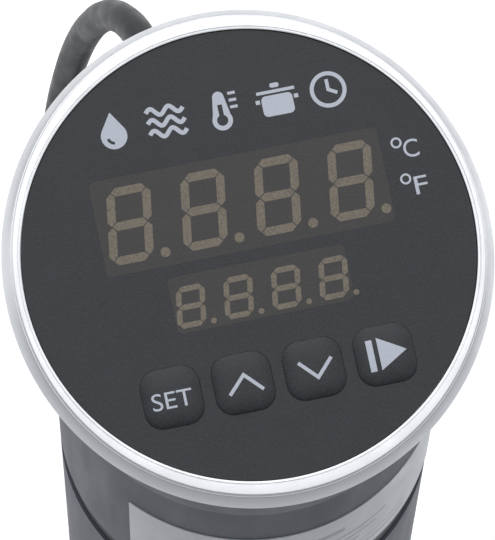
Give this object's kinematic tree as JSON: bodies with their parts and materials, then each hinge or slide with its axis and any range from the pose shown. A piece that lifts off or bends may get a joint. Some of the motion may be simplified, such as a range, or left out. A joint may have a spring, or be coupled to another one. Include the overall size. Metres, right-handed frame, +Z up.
{
  "type": "immersion circulator",
  "caption": "Hand-held immersion circulator with a tilted round control head, slim grey body, pot clamp, slotted steel heating skirt, twist-off base cap and mains lead.",
  "frame": {"origin": "centre of the flat base face, on the body axis", "axes": "+Z up along the body, -Y towards the user who reads the tilted control face, +X to the right"},
  "size_m": [0.1347, 0.2387, 0.3942],
  "materials": {
    "satin_bezel": "satin silver",
    "membrane_film": "fine-textured black film",
    "smoked_lens": "smoked window",
    "key_film": "embossed film",
    "inner_plastic": "moulded",
    "circuit_board": "solder mask",
    "display_module": "moulded",
    "switch_plastic": "moulded",
    "lamp_plastic": "clear",
    "zinc_screw": "zinc plated",
    "grey_housing": "satin grey",
    "label_foil": "silver foil",
    "black_rubber": "matt",
    "bulkhead_plastic": "glass filled",
    "steel_skirt": "brushed",
    "steel_screw": "polished",
    "black_plastic": "fine texture",
    "heater_steel": "bright drawn",
    "shaft_steel": "ground",
    "brass_coupling": "turned",
    "bush_plastic": "low friction",
    "motor_zinc": "zinc plated",
    "copper_winding": "enamelled",
    "transformer_core": "varnished",
    "relay_case": "moulded",
    "capacitor_sleeve": "sleeved",
    "sink_aluminium": "extruded",
    "clamp_plastic": "fine texture",
    "cord_rubber": "satin",
    "tie_strap": "woven",
    "brass_pin": "plated"
  },
  "bodies": {
    "root": {"bezel_ring": "satin_bezel", "front_panel": "membrane_film", "main_lens": "smoked_lens", "timer_lens": "smoked_lens", "panel_backing": "inner_plastic", "display_board": "circuit_board", "main_display": "display_module", "timer_display": "display_module", "key_switches": "switch_plastic", "unit_lamps": "lamp_plastic", "board_screws": "zinc_screw", "upper_housing": "grey_housing", "rating_label": "label_foil", "joint_band": "black_rubber", "lower_housing": "grey_housing", "housing_screws": "zinc_screw", "bulkhead": "bulkhead_plastic", "skirt_tube": "steel_skirt", "skirt_screws": "steel_screw", "cap_studs": "steel_screw", "heating_elements": "heater_steel", "temperature_probe": "heater_steel", "level_probes": "heater_steel", "shaft_seal": "black_rubber", "guide_spider": "black_plastic", "guide_bush": "bush_plastic", "motor_bracket": "inner_plastic", "chassis_screws": "zinc_screw", "motor_can": "motor_zinc", "motor_bearings": "shaft_steel", "motor_stator": "copper_winding", "power_board": "circuit_board", "transformer": "transformer_core", "relay": "relay_case", "capacitor": "capacitor_sleeve", "triac": "switch_plastic", "heat_sink": "sink_aluminium", "clamp_bracket": "clamp_plastic", "cable_gland": "clamp_plastic", "strain_relief": "cord_rubber", "mains_lead": "cord_rubber", "lead_coil": "cord_rubber", "cord_tie": "tie_strap", "plug_body": "cord_rubber", "plug_pins": "brass_pin"},
    "rotor": {"drive_shaft": "shaft_steel", "motor_shaft": "shaft_steel", "shaft_coupling": "brass_coupling", "impeller": "black_plastic", "impeller_nut": "steel_screw", "motor_rotor": "motor_zinc", "cooling_fan": "black_plastic"},
    "base_cap": {"base_cap": "black_plastic"},
    "key_set": {"key_set": "key_film"},
    "key_up": {"key_up": "key_film"},
    "key_down": {"key_down": "key_film"},
    "key_start": {"key_start": "key_film"},
    "clamp_pad": {"clamp_pad": "black_rubber"},
    "clamp_screw": {"clamp_screw": "shaft_steel", "clamp_knob": "clamp_plastic"}
  },
  "joints": [
    {"name": "rotor_spin", "type": "hinge", "parent": "root", "child": "rotor", "pos_m": [0, 0, 0.1], "axis": [0, 0, 1], "continuous": true},
    {"name": "base_cap_twist", "type": "hinge", "parent": "root", "child": "base_cap", "pos_m": [0, 0, 0.01], "axis": [0, 0, 1], "range_deg": [0, 30]},
    {"name": "key_set_press", "type": "slide", "parent": "root", "child": "key_set", "axis": [0, 0.2181, -0.9759], "range_m": [0, 0.0004], "stiffness_N_per_m": 2500, "springref_m": -0.0001},
    {"name": "key_up_press", "type": "slide", "parent": "root", "child": "key_up", "axis": [0, 0.2181, -0.9759], "range_m": [0, 0.0004], "stiffness_N_per_m": 2500, "springref_m": -0.0001},
    {"name": "key_down_press", "type": "slide", "parent": "root", "child": "key_down", "axis": [0, 0.2181, -0.9759], "range_m": [0, 0.0004], "stiffness_N_per_m": 2500, "springref_m": -0.0001},
    {"name": "key_start_press", "type": "slide", "parent": "root", "child": "key_start", "axis": [0, 0.2181, -0.9759], "range_m": [0, 0.0004], "stiffness_N_per_m": 2500, "springref_m": -0.0001},
    {"name": "clamp_travel", "type": "slide", "parent": "root", "child": "clamp_pad", "axis": [0, -1, 0], "range_m": [-0.004, 0.0105]},
    {"name": "clamp_turn", "type": "hinge", "parent": "clamp_pad", "child": "clamp_screw", "pos_m": [0, 0.08, 0.156], "axis": [0, -1, 0], "range_deg": [-360, 945]}
  ],
  "couplings": [
    {"joint": "clamp_turn", "follows": "clamp_travel", "rad_per_m": 1570.8}
  ]
}
